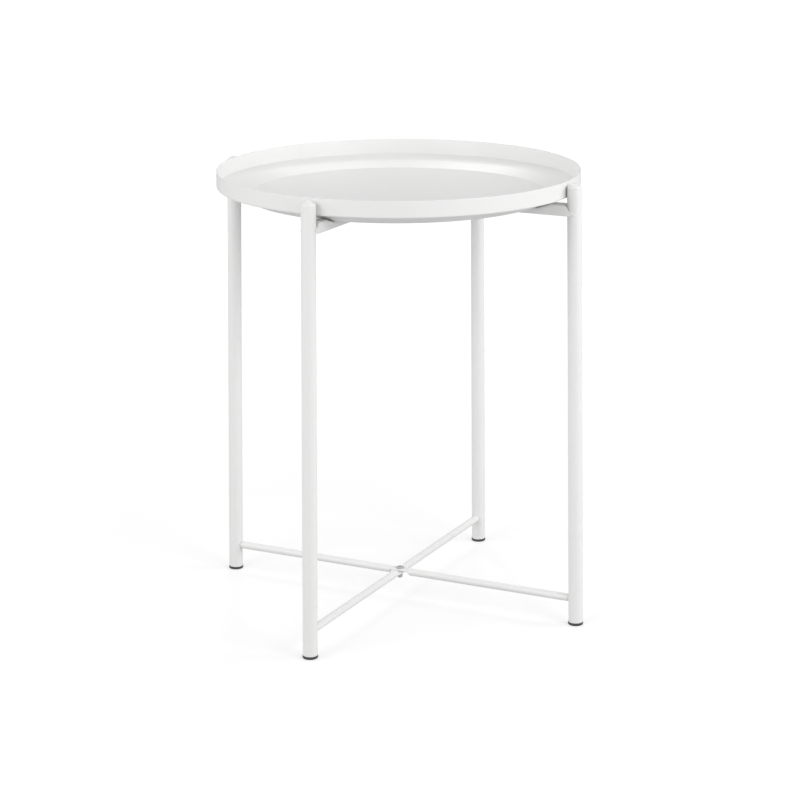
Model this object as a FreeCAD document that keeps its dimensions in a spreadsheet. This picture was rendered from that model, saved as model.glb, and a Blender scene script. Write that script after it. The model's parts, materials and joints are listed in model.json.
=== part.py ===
"""Folding side table: a round tray lifted off two leg frames that cross and turn about one upright pivot.

Frame: millimetres, +Z up, origin on the floor at the middle of the table. Leg frame A stands along X and
leg frame B along Y. Both turn about the Z axis, and the tray lifts off upwards.
"""
import FreeCAD, Part
import math
import os
import Sketcher

# alias, value in millimetres, what it is
DIMENSIONS = [
    ("tray_top", 552.0, "height of the tray rim"),
    ("tray_radius", 222.5, "outside radius of the tray wall"),
    ("wall_height", 20.0, "height of the tray wall"),
    ("tray_depth", 33.0, "height of the rim above the underside of the base"),
    ("base_radius", 185.4, "radius of the flat base"),
    ("band_radius", 204.0, "radius where the sloping band changes slope"),
    ("band_rise", 8.0, "rise of the band where it changes slope"),
    ("tray_sheet", 1.0, "thickness of the tray sheet"),
    ("wall_bend", 2.2, "outside bend radius, wall to band"),
    ("band_bend", 30.0, "bend radius in the band"),
    ("base_bend", 4.0, "outside bend radius, band to base"),
    ("rim_round", 0.45, "rounding of the rim"),
    ("leg_circle", 231.8, "distance of each leg from the pivot axis, level with the rim"),
    ("leg_splay", 9.6, "how much further out each leg stands on the floor"),
    ("leg_radius", 8.8, "outside radius of a leg tube"),
    ("leg_bore", 7.6, "inside radius of a leg tube"),
    ("foot_height", 3.4, "height of a foot below its tube"),
    ("foot_radius", 9.3, "radius of a foot"),
    ("foot_round", 1.6, "rounding of a foot's lower edge"),
    ("foot_lip", 0.3, "rounding of a foot's upper edge"),
    ("foot_gap", 0.25, "gap between a foot and its tube"),
    ("cap_drop", 1.8, "height of the rim above the caps"),
    ("cap_height", 5.8, "height of the dome of a leg cap"),
    ("cap_flat", 3.2, "radius of the top of the dome, before rounding"),
    ("cap_edge", 1.7, "height of the dome at its edge, before rounding"),
    ("cap_crown", 9.0, "rounding of the top of the dome"),
    ("cap_round", 3.0, "rounding of the edge of the dome"),
    ("seam_round", 0.3, "rounding beside the seam of a cap"),
    ("plug_radius", 7.4, "radius of the stem of a cap or foot"),
    ("plug_length", 12.0, "length of the stem of a cap or foot"),
    ("bar_gap", 0.1, "gap between the tray base and the upper crossbars"),
    ("bar_depth", 7.4, "height of an upper crossbar"),
    ("bar_sheet", 1.2, "thickness of the crossbar sheet"),
    ("bar_inside", 17.9, "width between the walls of a crossbar"),
    ("shoulder", 2.6, "outside bend radius of the crossbar channel"),
    ("ramp_start", 188.0, "where the crossbar starts to rise"),
    ("ramp_end", 205.0, "where the crossbar has risen"),
    ("horn_rise", 5.6, "rise of the end of a crossbar"),
    ("web_end", 221.3, "where the top of the crossbar ends"),
    ("ear_crest", 224.0, "where the upper edge of the ear turns down"),
    ("ear_neck", 229.2, "where the upper edge of the ear turns out again"),
    ("ear_neck_rise", 6.6, "height of the ear there, above the crossbar's lower edge"),
    ("ear_toe", 228.5, "where the lower edge of the ear turns up"),
    ("ear_reach", 1.2, "how far the ear runs past the leg's axis"),
    ("ear_tip_rise", 3.3, "height of the upper corner of the ear's tip"),
    ("ear_toe_rise", 1.5, "height of the lower corner of the ear's tip"),
    ("lap_length", 22.5, "half length of the upper lap"),
    ("lap_ramp", 30.5, "where the crossbar has risen from the lap"),
    ("lap_drop_a", 3.75, "drop of the upper lap in frame A"),
    ("lap_drop_b", 5.2, "drop of the upper lap in frame B"),
    ("rod_radius", 4.6, "radius of a lower cross rod"),
    ("rod_axis", 33.0, "height of the lower cross rods"),
    ("rod_inset", 7.4, "distance of a rod's end from the leg's axis"),
    ("rod_neck", 2.4, "chamfer on the end of a rod"),
    ("blade_length", 11.2, "half length of the lower lap"),
    ("blade_taper", 3.0, "length over which the rod turns into the lap"),
    ("blade_width", 5.0, "half width of the lower lap"),
    ("blade_sheet", 3.2, "thickness of the lower lap"),
    ("blade_gap", 0.05, "half the gap between the two lower laps"),
    ("cope_gap", 0.12, "gap between a coped rod end and its leg"),
    ("screw_radius", 3.0, "radius of the pivot screws"),
    ("running_hole", 3.06, "radius of the hole that turns on a screw"),
    ("tapped_hole", 3.02, "radius of the hole that holds a screw"),
    ("head_radius", 5.2, "radius of a screw head"),
    ("head_height", 2.0, "height of a screw head"),
    ("head_flat", 3.6, "radius of the flat on a screw head"),
    ("head_skirt", 0.8, "height of the edge of a screw head"),
    ("head_round", 3.0, "rounding of the top of a screw head"),
    ("socket_flats", 4.0, "width across the flats of the hexagon socket"),
    ("socket_depth", 2.0, "depth of the hexagon socket"),
    ("seat_gap", 0.05, "gap between a screw head or nut and what turns beside it"),
    ("lower_screw", 12.5, "length of the lower pivot screw"),
    ("upper_screw", 10.0, "length of the upper pivot screw"),
    ("screw_point", 0.8, "chamfer on the end of a screw"),
    ("nut_flats", 10.0, "width across the flats of the nut"),
    ("nut_height", 5.0, "height of the nut"),
    ("nut_bevel", 0.9, "bevel of the corners of the nut"),
]
# Levels and places worked out from those dimensions.
BASE = "tray_top - tray_depth"
BAR_TOP = f"{BASE} - bar_gap"
BAR_FOOT = f"{BAR_TOP} - bar_depth"
HORN = f"{BAR_TOP} + horn_rise"
LAP_TOP = {"a": f"{BAR_TOP} - lap_drop_a", "b": f"{BAR_TOP} - lap_drop_b"}
LEG_AT_BAR = "leg_circle + leg_splay * tray_depth / tray_top"
LEG_AT_ROD = "leg_circle + leg_splay * ( tray_top - rod_axis ) / tray_top"
ABOVE_RODS = "2 * rod_axis"
LEGS = {"right": 0, "back": 90, "left": 180, "front": 270}  # angle of each leg about the pivot axis
FRAME_ANGLE = {"a": 0, "b": 90}  # angle of each leg frame about the pivot axis
BEYOND = 30.0  # how far a cutting outline runs past what it cuts

doc = FreeCAD.newDocument("FoldingSideTable")
sheet = doc.addObject("Spreadsheet::Sheet", "Dims")
for row, (alias, number, meaning) in enumerate(DIMENSIONS, start=1):
    sheet.set(f"A{row}", meaning)
    sheet.set(f"B{row}", str(number))
    sheet.setAlias(f"B{row}", alias)
doc.recompute()
sub_parts = []


def size(alias):
    """The value of a driving dimension, read from the sheet."""
    return float(getattr(sheet, alias))


def level(text):
    """The value of a sum of driving dimensions."""
    signs = {"+": 1, "-": -1}
    total, sign = 0.0, 1
    for word in text.split():
        if word in signs:
            sign = signs[word]
        else:
            total += sign * size(word)
    return total


def formula(text):
    """An expression with each driving dimension written as a cell of the sheet."""
    words = text.split()
    return " ".join("Dims." + word if hasattr(sheet, word) else word for word in words)


def new_body(label):
    """A sub-part of its own, whose label names its file."""
    body = doc.addObject("PartDesign::Body", label)
    body.Label = label
    sub_parts.append(body)
    return body


def sketch_on(body, name, role, offset="0"):
    """A sketch on one of the body's own origin planes, moved along the plane's normal."""
    sketch = body.newObject("Sketcher::SketchObject", name)
    plane = next(item for item in body.Origin.OriginFeatures if item.Role == role)
    sketch.AttachmentSupport = [(plane, "")]
    sketch.MapMode = "FlatFace"
    if offset != "0":
        sketch.setExpression("AttachmentOffset.Base.z", formula(offset))
    return sketch


def bind(sketch, kind, where, text, start=1.0):
    """Adds a dimension to a sketch, with a starting value, and binds it to the sheet."""
    index = sketch.addConstraint(Sketcher.Constraint(kind, *where, start))
    sketch.setExpression(f"Constraints[{index}]", formula(text))


def place_point(sketch, geometry, point, x, y):
    """Fixes a point of a sketch at x, y, each an expression."""
    origin_axes = {"DistanceX": -2, "DistanceY": -1}
    for kind, text in (("DistanceX", x), ("DistanceY", y)):
        if text == "0":
            sketch.addConstraint(Sketcher.Constraint("PointOnObject", geometry, point, origin_axes[kind]))
        else:
            bind(sketch, kind, (geometry, point), text)


def outline(sketch, corners):
    """A closed outline through corners, each a pair of expressions."""
    count = len(corners)
    turn = 2 * math.pi / count
    start = [FreeCAD.Vector(100 * math.cos(turn * i), 100 * math.sin(turn * i), 0) for i in range(count)]
    for i in range(count):
        sketch.addGeometry(Part.LineSegment(start[i], start[(i + 1) % count]), False)
    for i in range(count):
        sketch.addConstraint(Sketcher.Constraint("Coincident", i, 2, (i + 1) % count, 1))
    for i, (x, y) in enumerate(corners):
        place_point(sketch, i, 1, x, y)


def circle(sketch, radius, x="0", y="0"):
    """A circle whose centre and radius are expressions."""
    up = FreeCAD.Vector(0, 0, 1)
    index = sketch.addGeometry(Part.Circle(FreeCAD.Vector(1, 1, 0), up, 5), False)
    place_point(sketch, index, 3, x, y)
    bind(sketch, "Radius", (index,), radius)


def pad(body, name, sketch, length, midplane=False, reverse=False):
    """Material along the sketch's normal, or half each way."""
    feature = body.newObject("PartDesign::Pad", name)
    feature.Profile = sketch
    feature.setExpression("Length", formula(length))
    if midplane:
        feature.SideType = "Symmetric"
    feature.Reversed = reverse
    doc.recompute()
    return feature


def pocket(body, name, sketch, length, midplane=False, reverse=False):
    """A cut from the sketch, checked to take material away."""
    before = body.Shape.Volume
    feature = body.newObject("PartDesign::Pocket", name)
    feature.Profile = sketch
    feature.setExpression("Length", formula(length))
    if midplane:
        feature.SideType = "Symmetric"
    feature.Reversed = reverse
    doc.recompute()
    if not body.Shape.Volume < before - 0.01:
        raise RuntimeError(f"{name} of {body.Label} cuts nothing")
    return feature


def revolve(body, name, sketch, kind="PartDesign::Revolution"):
    """A full turn of the sketch about the Z axis."""
    feature = body.newObject(kind, name)
    feature.Profile = sketch
    feature.ReferenceAxis = (sketch, ["V_Axis"])
    feature.Angle = 360
    doc.recompute()
    return feature


def soften(body, name, edges, amount, kind="PartDesign::Fillet"):
    """Rounds, or chamfers, the edges for which edges(edge) is true."""
    base = body.Tip
    chosen = [f"Edge{i}" for i, edge in enumerate(base.Shape.Edges, start=1) if edges(edge)]
    if not chosen:
        raise RuntimeError(f"{name} of {body.Label} has no edge")
    feature = body.newObject(kind, name)
    feature.Base = (base, chosen)
    measure = {"PartDesign::Fillet": "Radius", "PartDesign::Chamfer": "Size"}[kind]
    feature.setExpression(measure, formula(amount))
    doc.recompute()
    return feature


def ring(radius, height):
    """Chooses the circular edge about the Z axis with this radius and height."""
    def chosen(edge):
        if not isinstance(edge.Curve, Part.Circle):
            return False
        return abs(edge.Curve.Radius - radius) < 0.01 and abs(edge.Curve.Center.z - height) < 0.01
    return chosen


def rod_end(edge):
    """Chooses the circular edge at each end of a rod."""
    is_circle = isinstance(edge.Curve, Part.Circle)
    return is_circle and abs(edge.Curve.Center.x) > size("leg_circle") - 2 * size("leg_radius")


def polar(distance, angle, height=0.0):
    """A placement at a distance from the pivot axis, turned with its angle."""
    turn = FreeCAD.Rotation(FreeCAD.Vector(0, 0, 1), angle)
    return FreeCAD.Placement(turn.multVec(FreeCAD.Vector(distance, 0, height)), turn)


def on_leg(angle, height):
    """A placement at a height up a leg, which leans in from the floor to the tray."""
    lean = math.degrees(math.atan(size("leg_splay") / size("tray_top")))
    tilt = FreeCAD.Placement(FreeCAD.Vector(0, 0, 0), FreeCAD.Rotation(FreeCAD.Vector(0, 1, 0), -lean))
    up = FreeCAD.Placement(FreeCAD.Vector(0, 0, height), FreeCAD.Rotation())
    return polar(level("leg_circle + leg_splay"), angle) * tilt * up


def make_tray():
    """A dished sheet tray: flat base, sloping band with one soft bend, upright wall, open top."""
    body = new_body("tray")
    profile = sketch_on(body, "tray_profile", "XZ_Plane")
    wall_foot = "tray_top - wall_height"
    band_height = f"{BASE} + band_rise"
    outline(profile, [
        ("0", BASE), ("base_radius", BASE), ("band_radius", band_height),
        ("tray_radius", wall_foot), ("tray_radius", "tray_top"), ("0", "tray_top"),
    ])
    revolve(body, "tray_blank", profile)
    soften(body, "tray_base_bend", ring(size("base_radius"), level(BASE)), "base_bend")
    soften(body, "tray_band_bend", ring(size("band_radius"), level(band_height)), "band_bend")
    soften(body, "tray_wall_bend", ring(size("tray_radius"), level(wall_foot)), "wall_bend")
    blank = body.Tip
    top = max(range(len(blank.Shape.Faces)), key=lambda i: blank.Shape.Faces[i].CenterOfMass.z)
    hollow = body.newObject("PartDesign::Thickness", "tray_hollow")
    hollow.Base = (blank, [f"Face{top + 1}"])
    hollow.setExpression("Value", formula("tray_sheet"))
    hollow.Reversed = True
    doc.recompute()
    for name, radius in (("outside", "tray_radius"), ("inside", "tray_radius - tray_sheet")):
        soften(body, f"tray_rim_{name}", ring(level(radius), size("tray_top")), "rim_round")


def make_leg(side, angle):
    """A round tube that leans in a little from the floor to the tray."""
    body = new_body(f"leg_tube_{side}")
    section = sketch_on(body, "tube_section", "XY_Plane")
    circle(section, "leg_radius")
    circle(section, "leg_bore")
    pad(body, "tube", section, "tray_top - cap_drop - cap_height - foot_height - foot_gap")
    body.Placement = on_leg(angle, level("foot_height + foot_gap"))


def make_cap(side, angle):
    """A domed plug that closes the top of a leg tube."""
    body = new_body(f"leg_cap_{side}")
    profile = sketch_on(body, "cap_profile", "XZ_Plane")
    outline(profile, [
        ("0", "cap_height"), ("cap_flat", "cap_height"), ("leg_radius", "cap_edge"), ("leg_radius", "0"),
        ("plug_radius", "0"), ("plug_radius", "- plug_length"), ("0", "- plug_length"),
    ])
    revolve(body, "cap", profile)
    soften(body, "cap_edge_round", ring(size("leg_radius"), size("cap_edge")), "cap_round")
    soften(body, "cap_dome", ring(size("cap_flat"), size("cap_height")), "cap_crown")
    soften(body, "cap_seam", ring(size("leg_radius"), 0), "seam_round")
    body.Placement = on_leg(angle, level("tray_top - cap_drop - cap_height"))


def make_foot(side, angle):
    """An upright plug, a little wider than its tube, that closes the bottom and stands flat on the floor."""
    body = new_body(f"foot_{side}")
    profile = sketch_on(body, "foot_profile", "XZ_Plane")
    outline(profile, [
        ("0", "0"), ("foot_radius", "0"), ("foot_radius", "foot_height"), ("plug_radius", "foot_height"),
        ("plug_radius", "foot_height + plug_length"), ("0", "foot_height + plug_length"),
    ])
    revolve(body, "foot", profile)
    soften(body, "foot_edge", ring(size("foot_radius"), 0), "foot_round")
    soften(body, "foot_rim", ring(size("foot_radius"), size("foot_height")), "foot_lip")
    stem_middle = size("foot_height") + size("plug_length") / 2
    lean_there = size("leg_splay") * (1 - stem_middle / size("tray_top"))
    body.Placement = polar(size("leg_circle") + lean_there, angle)


def mirrored(corners):
    """Corners on the right, then the same on the left in the opposite order."""
    left = [("0" if x == "0" else "- ( " + x + " )", y) for x, y in reversed(corners) if x != "0"]
    return corners + left


def half_ring(sketch, sign, centre, inner, outer):
    """Half a flat ring on the far side of a leg's axis: sign is 1 for the leg at +X and -1 at -X."""
    up = FreeCAD.Vector(0, 0, 1)
    start = -sign * math.pi / 2
    about = sign * size("leg_circle")
    middle = FreeCAD.Vector(about, 0, 0)
    radii = (size("leg_radius"), BEYOND)
    arcs = []
    for radius in radii:
        curve = Part.ArcOfCircle(Part.Circle(middle, up, radius), start, start + math.pi)
        arcs.append(sketch.addGeometry(curve, False))
    near, far = arcs
    sketch.addConstraint(Sketcher.Constraint("Coincident", far, 3, near, 3))
    sketch.addConstraint(Sketcher.Constraint("PointOnObject", near, 3, -1))
    for end, side in ((1, -sign), (2, sign)):
        ends = [FreeCAD.Vector(about, side * radius, 0) for radius in radii]
        line = sketch.addGeometry(Part.LineSegment(*ends), False)
        sketch.addConstraint(Sketcher.Constraint("Coincident", line, 1, near, end))
        sketch.addConstraint(Sketcher.Constraint("Coincident", line, 2, far, end))
        sketch.addConstraint(Sketcher.Constraint("Vertical", near, end, near, 3))
        sketch.addConstraint(Sketcher.Constraint("Vertical", far, end, far, 3))
    bind(sketch, "Radius", (near,), inner, radii[0])
    bind(sketch, "Radius", (far,), outer, radii[1])
    bind(sketch, "DistanceX", (near, 3), f"{sign} * ( {centre} )", about)


def make_crossbar(frame):
    """A pressed channel, open below. Its ends rise beside the tray's band and run out into ears that
    wrap each side of the leg, and its middle is pressed flat to lap over or under the other one."""
    body = new_body(f"upper_crossbar_{frame}")
    lap_top = LAP_TOP[frame]
    ear_tip = f"{LEG_AT_BAR} + ear_reach"
    side = sketch_on(body, "bar_side", "XZ_Plane")
    outline(side, mirrored([
        ("lap_length", f"{lap_top} - bar_sheet"), ("lap_length", BAR_FOOT), ("ear_toe", BAR_FOOT),
        (ear_tip, f"{BAR_FOOT} + ear_toe_rise"), (ear_tip, f"{BAR_FOOT} + ear_tip_rise"),
        ("ear_neck", f"{BAR_FOOT} + ear_neck_rise"), ("ear_crest", HORN), ("ramp_end", HORN),
        ("ramp_start", BAR_TOP), ("lap_ramp", BAR_TOP), ("lap_length", lap_top),
    ]))
    pad(body, "bar_blank", side, "bar_inside + 2 * bar_sheet", midplane=True)
    half_width = size("bar_inside") / 2 + size("bar_sheet")

    def on_shoulder(edge):
        box = edge.BoundBox
        along_wall = abs(abs(box.Center.y) - half_width) < 0.01 and box.YLength < 0.01
        reach = abs(box.Center.x)
        return along_wall and size("lap_ramp") < reach < size("web_end") and box.ZMin > level(BAR_TOP) - 0.01

    soften(body, "bar_shoulders", on_shoulder, "shoulder")
    for name, sign in (("right", 1), ("left", -1)):
        minus = "" if sign == 1 else "- "
        inside = sketch_on(body, f"bar_inside_{name}", "XZ_Plane")
        corners = [
            ("lap_length", f"{BAR_FOOT} - {BEYOND}"), ("lap_length", f"{lap_top} - bar_sheet"),
            ("lap_ramp", f"{BAR_TOP} - bar_sheet"), ("ramp_start", f"{BAR_TOP} - bar_sheet"),
            ("ramp_end", f"{HORN} - bar_sheet"), ("web_end", f"{HORN} - bar_sheet"),
            ("web_end", f"{HORN} + {BEYOND}"), (LEG_AT_BAR, f"{HORN} + {BEYOND}"),
            (LEG_AT_BAR, f"{BAR_FOOT} - {BEYOND}"),
        ]
        outline(inside, [(f"{minus}( {x} )", y) for x, y in corners])
        pocket(body, f"bar_channel_{name}", inside, "bar_inside", midplane=True)
        seat = sketch_on(body, f"leg_seat_{name}", "XY_Plane")
        circle(seat, "0.5 * bar_inside", f"{minus}( {LEG_AT_BAR} )")
        pocket(body, f"bar_leg_seat_{name}", seat, HORN, reverse=True)
        wrap = sketch_on(body, f"ear_wrap_{name}", "XY_Plane")
        half_ring(wrap, sign, LEG_AT_BAR, "0.5 * bar_inside + bar_sheet", f"{BEYOND}")
        pocket(body, f"bar_ear_wrap_{name}", wrap, HORN, reverse=True)
    hole = sketch_on(body, "pivot_hole", "XY_Plane")
    circle(hole, {"a": "running_hole", "b": "tapped_hole"}[frame])
    pocket(body, "bar_hole", hole, HORN, reverse=True)
    body.Placement = polar(0, FRAME_ANGLE[frame])


def make_rod(frame):
    """A round bar, pressed flat in the middle to lap over or under the other one, coped to its legs."""
    body = new_body(f"lower_rod_{frame}")
    up = {"a": "", "b": "- "}[frame]
    stations = [
        ("- ( blade_length + blade_taper )", False), ("- blade_length", True),
        ("blade_length", True), ("blade_length + blade_taper", False),
    ]
    sections = []
    for number, (where, pressed) in enumerate(stations, start=1):
        section = sketch_on(body, f"rod_section_{number}", "YZ_Plane", where)
        if pressed:
            centre = f"rod_axis + ( {up}( blade_gap + 0.5 * blade_sheet ) )"
            pressed_section(section, centre)
        else:
            circle(section, "rod_radius", "0", "rod_axis")
        sections.append(section)
    middle = body.newObject("PartDesign::AdditiveLoft", "rod_middle")
    middle.Profile = sections[0]
    middle.Sections = sections[1:]
    middle.Ruled = True
    doc.recompute()
    for name, where, reverse in (("left", stations[0][0], True), ("right", stations[3][0], False)):
        section = sketch_on(body, f"rod_end_{name}", "YZ_Plane", where)
        circle(section, "rod_radius", "0", "rod_axis")
        straight = f"{LEG_AT_ROD} - rod_inset - blade_length - blade_taper"
        pad(body, f"rod_{name}", section, straight, reverse=reverse)
    soften(body, "rod_necks", rod_end, "rod_neck", "PartDesign::Chamfer")
    hole = sketch_on(body, "pivot_hole", "XY_Plane")
    circle(hole, {"a": "running_hole", "b": "tapped_hole"}[frame])
    pocket(body, "rod_hole", hole, ABOVE_RODS, reverse=True)
    for name, sign in (("right", ""), ("left", "- ")):
        cope = sketch_on(body, f"cope_{name}", "XY_Plane")
        circle(cope, "leg_radius + cope_gap", f"{sign}( {LEG_AT_ROD} )")
        pocket(body, f"rod_cope_{name}", cope, ABOVE_RODS, reverse=True)
    body.Placement = polar(0, FRAME_ANGLE[frame])


def pressed_section(sketch, centre_height):
    """The pressed section of a rod: flat above and below, with round edges."""
    high = size("blade_sheet") / 2
    wide = size("blade_width") - high
    corner = {(x, y): FreeCAD.Vector(x * wide, y * high, 0) for x in (-1, 1) for y in (-1, 1)}
    up = FreeCAD.Vector(0, 0, 1)
    top = sketch.addGeometry(Part.LineSegment(corner[-1, 1], corner[1, 1]), False)
    bottom = sketch.addGeometry(Part.LineSegment(corner[-1, -1], corner[1, -1]), False)
    ends = []
    for middle, start in ((wide, -math.pi / 2), (-wide, math.pi / 2)):
        round_edge = Part.Circle(FreeCAD.Vector(middle, 0, 0), up, high)
        ends.append(sketch.addGeometry(Part.ArcOfCircle(round_edge, start, start + math.pi), False))
    right, left = ends
    for joint in ((top, 2, right, 2), (right, 1, bottom, 2), (bottom, 1, left, 2), (left, 1, top, 1)):
        sketch.addConstraint(Sketcher.Constraint("Tangent", *joint))
    sketch.addConstraint(Sketcher.Constraint("Equal", right, left))
    bind(sketch, "Radius", (right,), "0.5 * blade_sheet")
    place_point(sketch, right, 3, "blade_width - 0.5 * blade_sheet", centre_height)
    place_point(sketch, left, 3, "- ( blade_width - 0.5 * blade_sheet )", centre_height)


def hexagon(sketch, flats):
    """A regular hexagon about the origin, given its width across flats as an expression."""
    root = "( 3 ^ 0.5 )"
    half = f"0.5 * {flats}"
    short = f"0.5 * {flats} / {root}"
    point = f"{flats} / {root}"
    outline(sketch, [
        (short, half), (point, "0"), (short, f"- {half}"),
        (f"- {short}", f"- {half}"), (f"- {point}", "0"), (f"- {short}", half),
    ])


def make_screw(label, length, seat):
    """A round-headed machine screw with a hexagon socket, seated at a height on the pivot axis."""
    body = new_body(label)
    profile = sketch_on(body, "screw_profile", "XZ_Plane")
    outline(profile, [
        ("0", "head_height"), ("head_flat", "head_height"), ("head_radius", "head_skirt"),
        ("head_radius", "0"), ("screw_radius", "0"), ("screw_radius", f"- {length} + screw_point"),
        ("screw_radius - screw_point", f"- {length}"), ("0", f"- {length}"),
    ])
    revolve(body, "screw", profile)
    soften(body, "screw_dome", ring(size("head_flat"), size("head_height")), "head_round")
    socket = sketch_on(body, "socket_section", "XY_Plane", "head_height")
    hexagon(socket, "socket_flats")
    pocket(body, "socket", socket, "socket_depth")
    body.Placement = polar(0, 0, seat)


def make_nut(label, top):
    """A hexagon nut with bevelled corners, its top face at a height on the pivot axis."""
    body = new_body(label)
    section = sketch_on(body, "nut_section", "XY_Plane")
    hexagon(section, "nut_flats")
    pad(body, "nut", section, "nut_height")
    hole = sketch_on(body, "nut_bore", "XY_Plane")
    circle(hole, "tapped_hole")
    pocket(body, "nut_hole", hole, "nut_height", reverse=True)
    outside = "0.5 * nut_flats + 2 * nut_bevel"
    for name, end, side in (("lower", "0", ""), ("upper", "nut_height", "- ")):
        bevel = sketch_on(body, f"bevel_{name}", "XZ_Plane")
        corners = [(outside, f"{end} - ( {side}nut_bevel )"), (outside, f"{end} + ( {side}nut_bevel )")]
        outline(bevel, [("0.5 * nut_flats", end)] + corners)
        revolve(body, f"nut_bevel_{name}", bevel, "PartDesign::Groove")
    body.Placement = polar(0, 0, top - size("nut_height"))


def check_and_write():
    """Stops on any failed object or bad shape, then writes each sub-part to its own file."""
    doc.recompute()
    for item in doc.Objects:
        if "Invalid" in item.State or "Error" in item.State:
            raise RuntimeError(f"{item.Name} ({item.Label}) failed: {item.State}")
    for body in sub_parts:
        if body.Shape.isNull() or not body.Shape.isValid() or len(body.Shape.Solids) != 1:
            raise RuntimeError(f"{body.Label} is not one valid solid")
    os.makedirs("parts", exist_ok=True)
    for body in sub_parts:
        body.Shape.exportStep(f"parts/{body.Label}.step")
        print(f"{body.Label}: {body.Shape.Volume / 1000:.2f} cm3")


make_tray()
for leg_side, leg_angle in LEGS.items():
    make_leg(leg_side, leg_angle)
    make_cap(leg_side, leg_angle)
    make_foot(leg_side, leg_angle)
for frame_name in FRAME_ANGLE:
    make_crossbar(frame_name)
    make_rod(frame_name)
make_screw("upper_pivot_screw", "upper_screw", level(LAP_TOP["a"] + " + seat_gap"))
make_nut("upper_pivot_nut", level(LAP_TOP["b"] + " - bar_sheet"))
make_screw("lower_pivot_screw", "lower_screw", level("rod_axis + blade_gap + blade_sheet + seat_gap"))
check_and_write()
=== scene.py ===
"""Looks of the folding side table: powder-coated steel, white caps, dark feet and zinc-plated screws.

Metres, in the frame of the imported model: +Z up, origin on the floor under the pivot axis.
"""
import functools
import json
import math

import bmesh
import bpy
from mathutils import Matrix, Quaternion, Vector


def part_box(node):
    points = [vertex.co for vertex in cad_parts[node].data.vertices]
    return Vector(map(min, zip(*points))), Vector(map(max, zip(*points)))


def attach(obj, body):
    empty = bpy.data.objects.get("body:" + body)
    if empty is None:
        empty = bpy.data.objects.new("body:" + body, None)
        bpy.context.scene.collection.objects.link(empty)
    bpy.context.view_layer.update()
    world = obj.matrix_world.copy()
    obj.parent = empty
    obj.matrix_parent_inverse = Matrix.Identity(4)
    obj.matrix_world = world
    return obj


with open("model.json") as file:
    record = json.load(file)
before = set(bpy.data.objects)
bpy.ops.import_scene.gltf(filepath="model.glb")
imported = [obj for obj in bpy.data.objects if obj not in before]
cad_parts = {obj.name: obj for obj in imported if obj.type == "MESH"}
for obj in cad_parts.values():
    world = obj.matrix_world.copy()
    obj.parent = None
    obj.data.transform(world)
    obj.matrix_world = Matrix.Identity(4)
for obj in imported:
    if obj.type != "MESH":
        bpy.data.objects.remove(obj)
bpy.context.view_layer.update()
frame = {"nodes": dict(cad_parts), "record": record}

# Camera: its place round the table, the height that it looks at on the pivot axis, its lens,
# the lens's shift as a part of the picture's width, and its roll in radians.
CAMERA_AZIMUTH = math.radians(26.35)
CAMERA_DISTANCE = 2.8966
CAMERA_HEIGHT = 1.0543
AIM_HEIGHT = 0.3503
LENS_MM = 108.0
SHIFT_X = 0.0011
SHIFT_Y = -0.09
CAMERA_ROLL = -0.0038

# Light. SURROUND is the strength of the white world round the table.
SURROUND = 0.565
# The floor that the camera sees: its grey, and its glow within NEAR_FLOOR metres of the origin and
# beyond FAR_FLOOR.
FLOOR_GREY = 0.5
FLOOR_GLOW = 0.50
FAR_FLOOR_GLOW = 0.74
NEAR_FLOOR = 0.5
FAR_FLOOR = 2.4
# The floor that lights the table, just under the other one.
BOUNCE_HEIGHT = -0.002
BOUNCE_GREY = 0.3
BOUNCE_GLOW = 0.29
FLOOR_SIZE = 60.0
FLOOR_ROUGHNESS = 0.9
FLOOR_SPECULAR = 0.1
WHITE = (1, 1, 1, 1)
# The lights face the pivot axis at SOFTBOX_AIM above the floor.
SOFTBOX_AIM = 0.35
SOFTBOXES = [
    # name, azimuth and elevation seen from the table, distance, width, height, watts
    ("left_front", -20, 20, 3.0, 1.6, 1.6, 27),
    ("right_front", 72, 20, 3.0, 1.6, 1.6, 31),
    ("left", -64, 20, 3.0, 1.6, 1.6, 14),
    ("right", 116, 20, 3.0, 1.6, 1.6, 27),
    ("strip_left", 198, 50, 2.5, 0.2, 1.0, 2.5),
    ("strip_right", 216, 50, 2.5, 0.2, 1.0, 4.5),
]

# Which way each leg stands from the pivot axis in degrees, and the letter of its leg frame.
LEGS = {"right": (0, "a"), "back": (90, "b"), "left": (180, "a"), "front": (270, "b")}

# Weld beads: their half thickness, the part of it that is left at their ends, how much the
# ripples add and take off, and the sides of their section.
BEAD_RADIUS = 0.0010
BEAD_END = 0.12
BEAD_RIPPLE = 0.1
BEAD_SIDES = 12
# At each ear: where the bead starts and ends round the leg from its outer side, in degrees, how
# far above the crossbar's lowest point it starts and ends, and how far off the leg its middle is.
EAR_WELD_START = 96
EAR_WELD_ENDS = {"right": 62, "back": 72, "left": 72, "front": 82}
EAR_WELD_HEIGHTS = (0.0034, 0.0012)
EAR_WELD_PROUD = 0.0001
EAR_WELD_POINTS = 15
EAR_WELD_RIPPLES = 3
# At each end of a rod: the bead's arc each way from level in degrees, its reach as a part of the
# rod's radius, and how far off the leg its middle is.
ROD_WELD_ARC = 62
ROD_WELD_SPREAD = 0.62
ROD_WELD_PROUD = 0.0002
ROD_WELD_POINTS = 17
ROD_WELD_RIPPLES = 5

# Thread of the M6 pivot screws: the middle of the ridge, its half thickness, its pitch, the plain
# lengths left at its ends, its points to a turn, the points over which it fades in and out, the
# part of its thickness left at its ends, and the sides of its section.
THREAD_RADIUS = 0.00295
THREAD_RIDGE = 0.0003
THREAD_PITCH = 0.001
THREAD_POINT = 0.0009
THREAD_RUNOUT = 0.0004
THREAD_STEPS = 24
THREAD_FADE = 12
THREAD_END = 0.1
THREAD_SIDES = 6
# How far above the lower rod's underside the thread of its screw ends.
LOWER_THREAD_REACH = 0.0013

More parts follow.
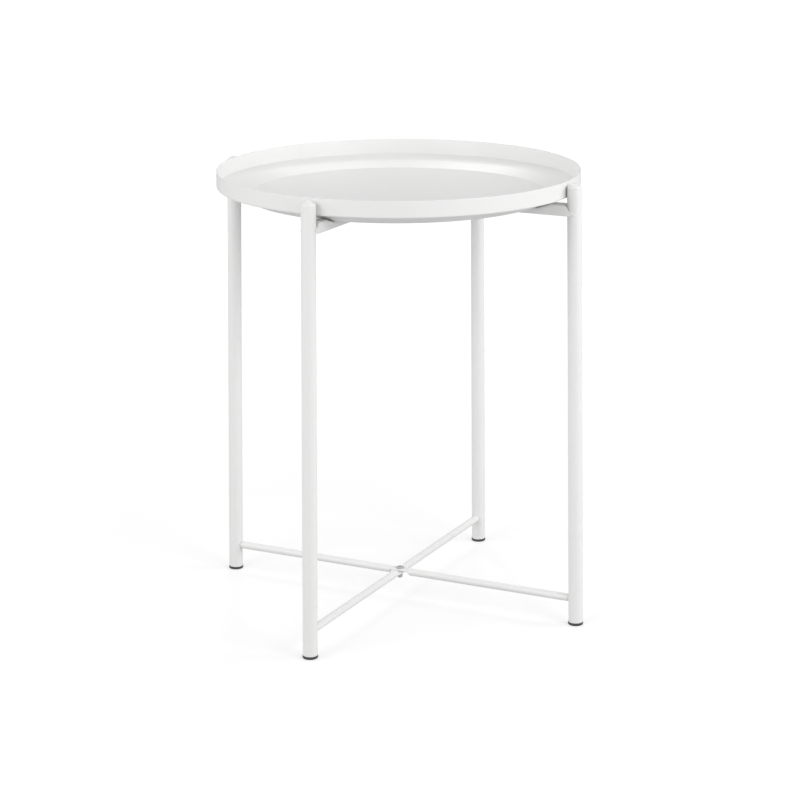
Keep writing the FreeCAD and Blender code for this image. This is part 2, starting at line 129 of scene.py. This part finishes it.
# Noise in the surfaces: soft patches of colour, and a fine grain, whose values mostly lie within
# GRAIN_SPAN.
PATCH_SCALE = 14.0
PATCH_DETAIL = 2.0
GRAIN_DETAIL = 3.0
GRAIN_SPAN = (0.3, 0.7)


def new_material(name):
    """A material with one Principled shader."""
    material = bpy.data.materials.new(name)
    material.use_nodes = True
    return material, material.node_tree.nodes, material.node_tree.links


def object_coordinates(nodes):
    """Object coordinates in metres."""
    return nodes.new("ShaderNodeTexCoord").outputs["Object"]


def noise(nodes, links, vector, scale, detail):
    """A noise texture on the given coordinates."""
    texture = nodes.new("ShaderNodeTexNoise")
    texture.inputs["Scale"].default_value = scale
    texture.inputs["Detail"].default_value = detail
    links.new(vector, texture.inputs["Vector"])
    return texture.outputs["Fac"]


def between(nodes, links, value, span, ends):
    """A number that runs from one of the ends to the other as value runs over span."""
    ramp = nodes.new("ShaderNodeMapRange")
    ramp.inputs["From Min"].default_value = span[0]
    ramp.inputs["From Max"].default_value = span[1]
    ramp.inputs["To Min"].default_value = ends[0]
    ramp.inputs["To Max"].default_value = ends[1]
    links.new(value, ramp.inputs["Value"])
    return ramp.outputs["Result"]


def tint(nodes, links, factor, dark, light):
    """A colour that runs from dark to light with factor."""
    mix = nodes.new("ShaderNodeMix")
    mix.data_type = "RGBA"
    mix.inputs["A"].default_value = (*dark, 1.0)
    mix.inputs["B"].default_value = (*light, 1.0)
    links.new(factor, mix.inputs["Factor"])
    return mix.outputs["Result"]


def bump(nodes, links, height, distance):
    """Small relief, given in metres."""
    relief = nodes.new("ShaderNodeBump")
    relief.inputs["Distance"].default_value = distance
    relief.inputs["Strength"].default_value = 1.0
    links.new(height, relief.inputs["Height"])
    return relief.outputs["Normal"]


def surface(name, dark, light, rough, relief, grain, metallic):
    """A fine-grained surface, whose colour and roughness vary a little; its relief is in metres."""
    material, nodes, links = new_material(name)
    shader = nodes["Principled BSDF"]
    where = object_coordinates(nodes)
    soft = noise(nodes, links, where, PATCH_SCALE, PATCH_DETAIL)
    fine = noise(nodes, links, where, grain, GRAIN_DETAIL)
    links.new(tint(nodes, links, soft, dark, light), shader.inputs["Base Color"])
    links.new(between(nodes, links, fine, GRAIN_SPAN, rough), shader.inputs["Roughness"])
    links.new(bump(nodes, links, fine, relief), shader.inputs["Normal"])
    shader.inputs["Metallic"].default_value = metallic
    return material


SURFACES = {
    # slot: darkest and lightest colour, least and most roughness, relief in metres, scale of the
    # grain, metallic
    "white_powder_coat": ((0.79, 0.79, 0.785), (0.81, 0.81, 0.805), (0.28, 0.34), 0.000003, 900.0, 0.0),
    "white_plastic": ((0.79, 0.79, 0.785), (0.81, 0.81, 0.805), (0.32, 0.38), 0.00001, 1500.0, 0.0),
    "dark_plastic": ((0.045, 0.045, 0.048), (0.06, 0.06, 0.063), (0.45, 0.6), 0.00003, 1800.0, 0.0),
    "zinc_steel": ((0.54, 0.54, 0.55), (0.64, 0.64, 0.65), (0.5, 0.62), 0.00002, 1200.0, 1.0),
}
MATERIALS = {slot: surface(slot, *values) for slot, values in SURFACES.items()}


def dress_nodes():
    """Gives every CAD node the material of its slot."""
    for part in frame["record"]["subparts"]:
        node = frame["nodes"][part["node"]]
        node.data.materials.clear()
        node.data.materials.append(MATERIALS[part["material_slot"]])


def tube(name, path, radii, sides, body, slot):
    """A closed round tube along path, with a radius at each point, that rides on a body."""
    mesh = bmesh.new()
    rings = []
    last = len(path) - 1
    for i, (point, radius) in enumerate(zip(path, radii)):
        along = (path[min(i + 1, last)] - path[max(i - 1, 0)]).normalized()
        across = along.orthogonal() if i == 0 else (across - along * across.dot(along)).normalized()
        across.normalize()
        third = along.cross(across)
        ring = []
        for k in range(sides):
            turn = 2 * math.pi * k / sides
            out = math.cos(turn) * across + math.sin(turn) * third
            ring.append(mesh.verts.new(point + radius * out))
        rings.append(ring)
    for first, second in zip(rings, rings[1:]):
        for k in range(sides):
            mesh.faces.new((first[k], first[(k + 1) % sides], second[(k + 1) % sides], second[k]))
    for ring, point, order in ((rings[0], path[0], -1), (rings[-1], path[-1], 1)):
        pole = mesh.verts.new(point)
        for k in range(sides):
            corners = (ring[k], ring[(k + 1) % sides], pole)
            mesh.faces.new(corners[::order])
    data = bpy.data.meshes.new(name)
    mesh.to_mesh(data)
    mesh.free()
    for face in data.polygons:
        face.use_smooth = True
    data.materials.append(MATERIALS[slot])
    piece = bpy.data.objects.new(name, data)
    bpy.context.scene.collection.objects.link(piece)
    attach(piece, body)


def bead_radii(count, ripples):
    """Radii of a weld bead: round at both ends, with ripples along it."""
    radii = []
    for i in range(count):
        t = i / (count - 1)
        swell = math.sqrt(max(0.0, 1 - (2 * t - 1) ** 4))
        ripple = 1 + BEAD_RIPPLE * math.sin(2 * math.pi * ripples * t)
        radii.append(BEAD_RADIUS * (BEAD_END + (1 - BEAD_END) * swell) * ripple)
    return radii


@functools.lru_cache
def middle(node):
    """The middle of a node's box."""
    low, high = (Vector(corner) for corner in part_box(node))
    return (low + high) / 2


def leg_axis(side, height):
    """How far a leg's axis is from the pivot axis, at a height."""
    foot, cap = middle(f"foot_{side}"), middle(f"leg_cap_{side}")
    low, high = foot.xy.length, cap.xy.length
    return low + (high - low) * (height - foot.z) / (cap.z - foot.z)


@functools.lru_cache
def leg_radius():
    """Outside radius of the leg tubes."""
    low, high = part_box("leg_cap_right")
    return (high[1] - low[1]) / 2


def on_leg_surface(side, round_leg, height, proud):
    """A point round_leg radians from a leg's outer side and proud metres off the tube."""
    turn = math.radians(LEGS[side][0])
    reach = leg_radius() + proud
    out = leg_axis(side, height) + reach * math.cos(round_leg)
    return Quaternion((0, 0, 1), turn) @ Vector((out, reach * math.sin(round_leg), height))


def weld(name, path, ripples, letter):
    """A weld bead on a leg frame."""
    radii = bead_radii(len(path), ripples)
    tube(name, path, radii, BEAD_SIDES, f"leg_frame_{letter}", "white_powder_coat")


def weld_ears(side):
    """A short run of weld at the tip of each ear of the crossbar."""
    letter = LEGS[side][1]
    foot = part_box(f"upper_crossbar_{letter}")[0][2]
    high, low = EAR_WELD_HEIGHTS
    for hand, sign in (("near", -1), ("far", 1)):
        path = []
        for i in range(EAR_WELD_POINTS):
            t = i / (EAR_WELD_POINTS - 1)
            angle = sign * math.radians(EAR_WELD_START + (EAR_WELD_ENDS[side] - EAR_WELD_START) * t)
            path.append(on_leg_surface(side, angle, foot + high + (low - high) * t, EAR_WELD_PROUD))
        weld(f"ear_weld_{side}_{hand}", path, EAR_WELD_RIPPLES, letter)


def weld_rod(side):
    """A run of weld down each side of a rod's end, which leaves a small pit above and below."""
    letter = LEGS[side][1]
    low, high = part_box(f"lower_rod_{letter}")
    axis_height = (low[2] + high[2]) / 2
    spread = ROD_WELD_SPREAD * (high[2] - low[2]) / 2
    for hand, sign in (("near", -1), ("far", 1)):
        path = []
        for i in range(ROD_WELD_POINTS):
            turn = math.radians(ROD_WELD_ARC * (2 * i / (ROD_WELD_POINTS - 1) - 1))
            beside = sign * spread * math.cos(turn)
            round_leg = math.pi - math.asin(beside / leg_radius())
            height = axis_height + spread * math.sin(turn)
            path.append(on_leg_surface(side, round_leg, height, ROD_WELD_PROUD))
        weld(f"rod_weld_{side}_{hand}", path, ROD_WELD_RIPPLES, letter)


def thread(name, screw, top):
    """The ridge of a screw's thread, from its point up to a height."""
    start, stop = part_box(screw)[0][2] + THREAD_POINT, top - THREAD_RUNOUT
    count = max(2, int(THREAD_STEPS * (stop - start) / THREAD_PITCH))
    path = []
    radii = []
    for i in range(count + 1):
        turn = 2 * math.pi * i / THREAD_STEPS
        height = start + THREAD_PITCH * i / THREAD_STEPS
        path.append(Vector((THREAD_RADIUS * math.cos(turn), THREAD_RADIUS * math.sin(turn), height)))
        fade = min(1.0, THREAD_END + i / THREAD_FADE, THREAD_END + (count - i) / THREAD_FADE)
        radii.append(THREAD_RIDGE * fade)
    tube(name, path, radii, THREAD_SIDES, "leg_frame_b", "zinc_steel")


def floor_plane(name, height, grey, glows):
    """A plain matt floor whose glow runs from one of glows near the table to the other far from it."""
    bpy.ops.mesh.primitive_plane_add(size=FLOOR_SIZE, location=(0, 0, height))
    floor = bpy.context.object
    floor.name = name
    material, nodes, links = new_material(name)
    shader = nodes["Principled BSDF"]
    shader.inputs["Base Color"].default_value = (grey, grey, grey, 1)
    shader.inputs["Roughness"].default_value = FLOOR_ROUGHNESS
    shader.inputs["Specular IOR Level"].default_value = FLOOR_SPECULAR
    shader.inputs["Emission Color"].default_value = WHITE
    distance = nodes.new("ShaderNodeVectorMath")
    distance.operation = "LENGTH"
    links.new(object_coordinates(nodes), distance.inputs[0])
    glow = between(nodes, links, distance.outputs["Value"], (NEAR_FLOOR, FAR_FLOOR), glows)
    links.new(glow, shader.inputs["Emission Strength"])
    floor.data.materials.append(material)
    return floor


def make_stage():
    """The pale floor that the camera sees, the duller one that lights the table, and the world."""
    seen = floor_plane("floor", 0.0, FLOOR_GREY, (FLOOR_GLOW, FAR_FLOOR_GLOW))
    seen.visible_diffuse = False
    seen.visible_glossy = False
    seen.visible_shadow = False
    bounce = floor_plane("floor_bounce", BOUNCE_HEIGHT, BOUNCE_GREY, (BOUNCE_GLOW, BOUNCE_GLOW))
    bounce.visible_camera = False
    world = bpy.data.worlds.new("studio")
    bpy.context.scene.world = world
    world.use_nodes = True
    backdrop = world.node_tree.nodes["Background"]
    backdrop.inputs["Color"].default_value = WHITE
    backdrop.inputs["Strength"].default_value = SURROUND


def softbox(name, azimuth, elevation, distance, width, height, power):
    """An area light that faces the table."""
    light = bpy.data.lights.new(name, "AREA")
    light.shape = "RECTANGLE"
    light.size = width
    light.size_y = height
    light.energy = power
    lamp = bpy.data.objects.new(name, light)
    turn, lift = math.radians(azimuth), math.radians(elevation)
    aim = Vector((0, 0, SOFTBOX_AIM))
    level = Vector((math.sin(turn), -math.cos(turn), 0)) * math.cos(lift)
    lamp.location = aim + distance * (level + Vector((0, 0, math.sin(lift))))
    lamp.rotation_mode = "QUATERNION"
    lamp.rotation_quaternion = (lamp.location - aim).to_track_quat("Z", "Y")
    bpy.context.scene.collection.objects.link(lamp)


def make_camera():
    """The camera, to the right of the table's front and above it, looking down at the pivot axis."""
    data = bpy.data.cameras.new("camera")
    data.lens = LENS_MM
    data.shift_x = SHIFT_X
    data.shift_y = SHIFT_Y
    camera = bpy.data.objects.new("camera", data)
    out = Vector((math.sin(CAMERA_AZIMUTH), -math.cos(CAMERA_AZIMUTH), 0))
    camera.location = out * CAMERA_DISTANCE + Vector((0, 0, CAMERA_HEIGHT))
    camera.rotation_mode = "QUATERNION"
    level = (camera.location - Vector((0, 0, AIM_HEIGHT))).to_track_quat("Z", "Y")
    camera.rotation_quaternion = level @ Quaternion((0, 0, 1), CAMERA_ROLL)
    bpy.context.scene.collection.objects.link(camera)
    bpy.context.scene.camera = camera


make_camera()
make_stage()
for box in SOFTBOXES:
    softbox(*box)
dress_nodes()
for leg in LEGS:
    weld_ears(leg)
    weld_rod(leg)
thread("lower_screw_thread", "lower_pivot_screw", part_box("lower_rod_b")[0][2] + LOWER_THREAD_REACH)
thread("upper_screw_thread", "upper_pivot_screw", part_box("upper_pivot_nut")[0][2])
bpy.context.scene.view_settings.view_transform = "Standard"
